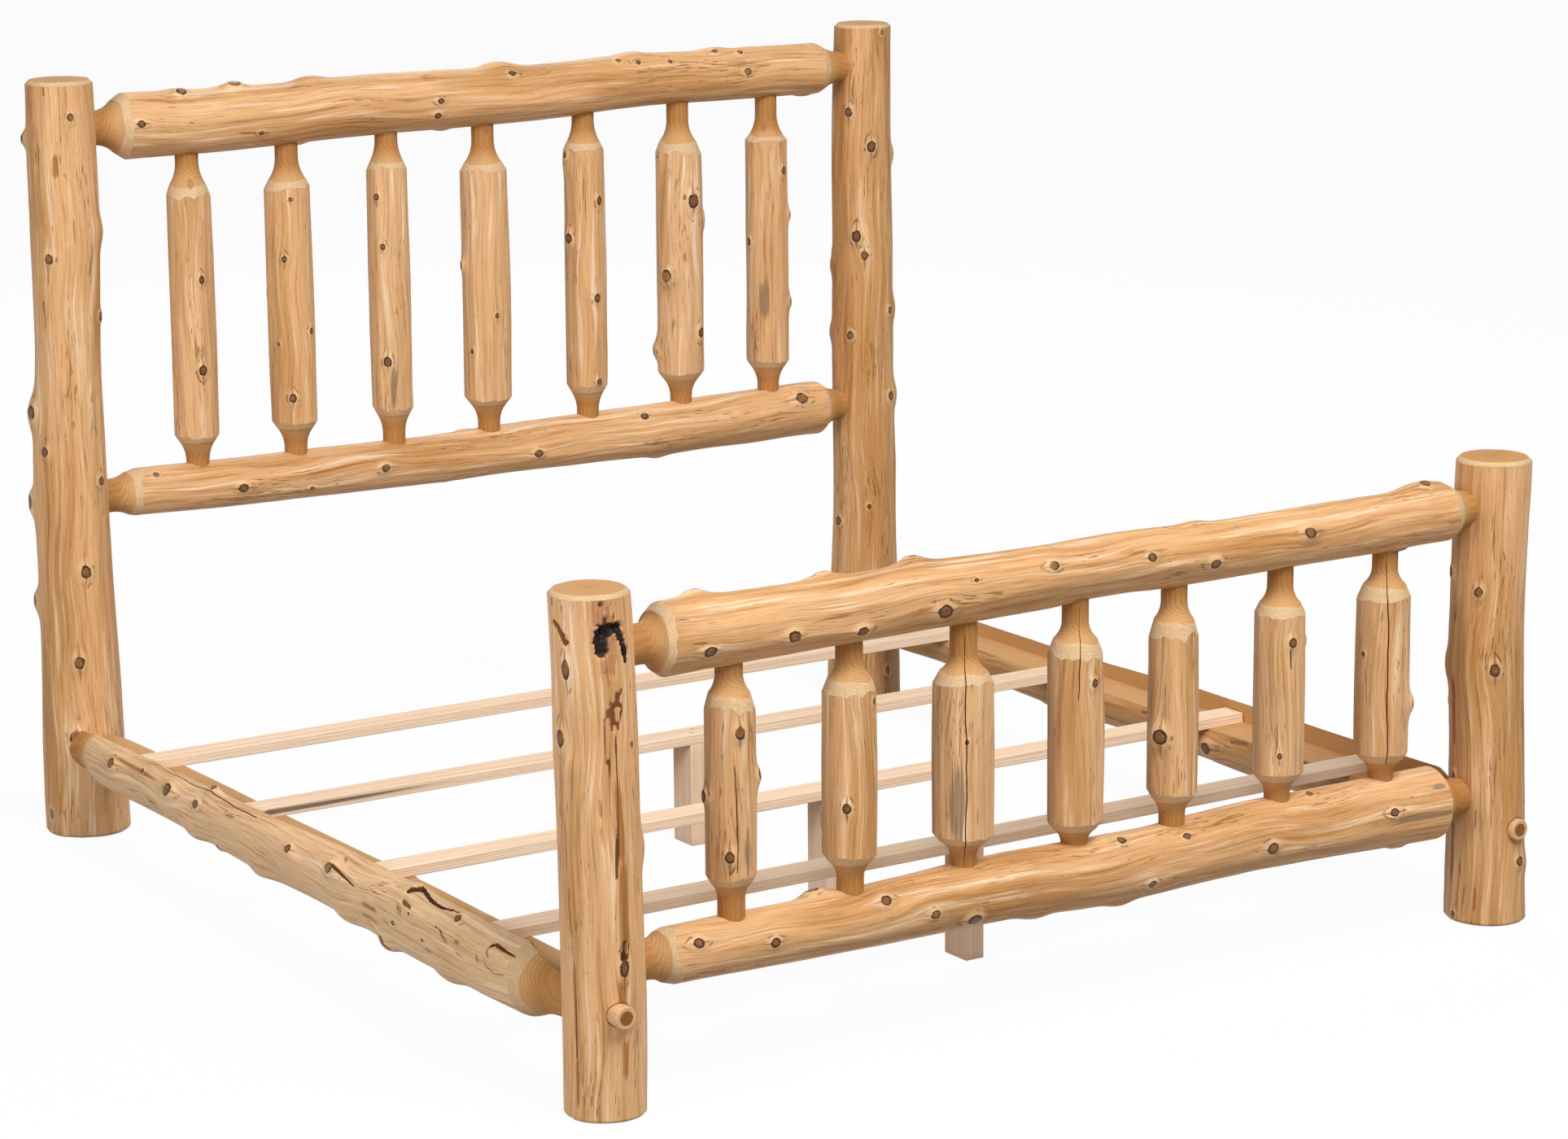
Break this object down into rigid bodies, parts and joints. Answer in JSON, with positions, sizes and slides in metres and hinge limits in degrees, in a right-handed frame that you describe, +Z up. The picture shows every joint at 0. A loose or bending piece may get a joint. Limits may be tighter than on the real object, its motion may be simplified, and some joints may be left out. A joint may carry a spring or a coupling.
{
  "type": "log bed frame",
  "caption": "Rustic king-size bed frame of peeled logs with spindle headboard and footboard, rabbeted side rails and drop-in slats.",
  "frame": {"origin": "on the floor under the middle of the bed", "axes": "+X across the bed to the right seen from the foot, +Y from the foot to the head, +Z up"},
  "size_m": [2.2072, 2.376, 1.618],
  "materials": {
    "peeled_log": "clear satin coat over peeled, knife-marked softwood with knots",
    "sawn_board": "smooth sawn softwood, uncoated",
    "turned_plug": "clear satin coat over turned branch wood",
    "zinc_steel": "zinc plated"
  },
  "bodies": {
    "bed_frame": {"foot_left_post": "peeled_log", "foot_right_post": "peeled_log", "head_left_post": "peeled_log", "head_right_post": "peeled_log", "head_top_rail": "peeled_log", "head_low_rail": "peeled_log", "foot_top_rail": "peeled_log", "foot_low_rail": "peeled_log", "head_spindle_1": "peeled_log", "head_spindle_2": "peeled_log", "head_spindle_3": "peeled_log", "head_spindle_4": "peeled_log", "head_spindle_5": "peeled_log", "head_spindle_6": "peeled_log", "head_spindle_7": "peeled_log", "foot_spindle_1": "peeled_log", "foot_spindle_2": "peeled_log", "foot_spindle_3": "peeled_log", "foot_spindle_4": "peeled_log", "foot_spindle_5": "peeled_log", "foot_spindle_6": "peeled_log", "foot_spindle_7": "peeled_log", "left_side_rail": "peeled_log", "right_side_rail": "peeled_log", "foot_left_bolt": "zinc_steel", "foot_left_washer": "zinc_steel", "foot_left_barrel_nut": "zinc_steel", "foot_right_bolt": "zinc_steel", "foot_right_washer": "zinc_steel", "foot_right_barrel_nut": "zinc_steel", "head_left_bolt": "zinc_steel", "head_left_washer": "zinc_steel", "head_left_barrel_nut": "zinc_steel", "head_right_bolt": "zinc_steel", "head_right_washer": "zinc_steel", "head_right_barrel_nut": "zinc_steel"},
    "slat_unit_1": {"slat_1": "sawn_board", "centre_leg_1": "sawn_board", "slat_1_screws": "zinc_steel"},
    "slat_unit_2": {"slat_2": "sawn_board", "centre_leg_2": "sawn_board", "slat_2_screws": "zinc_steel"},
    "slat_unit_3": {"slat_3": "sawn_board", "centre_leg_3": "sawn_board", "slat_3_screws": "zinc_steel"},
    "slat_unit_4": {"slat_4": "sawn_board", "centre_leg_4": "sawn_board", "slat_4_screws": "zinc_steel"},
    "foot_left_plug_cap": {"foot_left_plug": "turned_plug"},
    "foot_right_plug_cap": {"foot_right_plug": "turned_plug"},
    "head_left_plug_cap": {"head_left_plug": "turned_plug"},
    "head_right_plug_cap": {"head_right_plug": "turned_plug"}
  },
  "joints": [
    {"name": "slat_1_lift", "type": "slide", "parent": "bed_frame", "child": "slat_unit_1", "axis": [0, 0, 1], "range_m": [0, 0.3]},
    {"name": "slat_2_lift", "type": "slide", "parent": "bed_frame", "child": "slat_unit_2", "axis": [0, 0, 1], "range_m": [0, 0.3]},
    {"name": "slat_3_lift", "type": "slide", "parent": "bed_frame", "child": "slat_unit_3", "axis": [0, 0, 1], "range_m": [0, 0.3]},
    {"name": "slat_4_lift", "type": "slide", "parent": "bed_frame", "child": "slat_unit_4", "axis": [0, 0, 1], "range_m": [0, 0.3]},
    {"name": "foot_left_plug_pull", "type": "slide", "parent": "bed_frame", "child": "foot_left_plug_cap", "axis": [0, -1, 0], "range_m": [0, 0.07]},
    {"name": "foot_right_plug_pull", "type": "slide", "parent": "bed_frame", "child": "foot_right_plug_cap", "axis": [0, -1, 0], "range_m": [0, 0.07]},
    {"name": "head_left_plug_pull", "type": "slide", "parent": "bed_frame", "child": "head_left_plug_cap", "axis": [0, 1, 0], "range_m": [0, 0.07]},
    {"name": "head_right_plug_pull", "type": "slide", "parent": "bed_frame", "child": "head_right_plug_cap", "axis": [0, 1, 0], "range_m": [0, 0.07]}
  ]
}
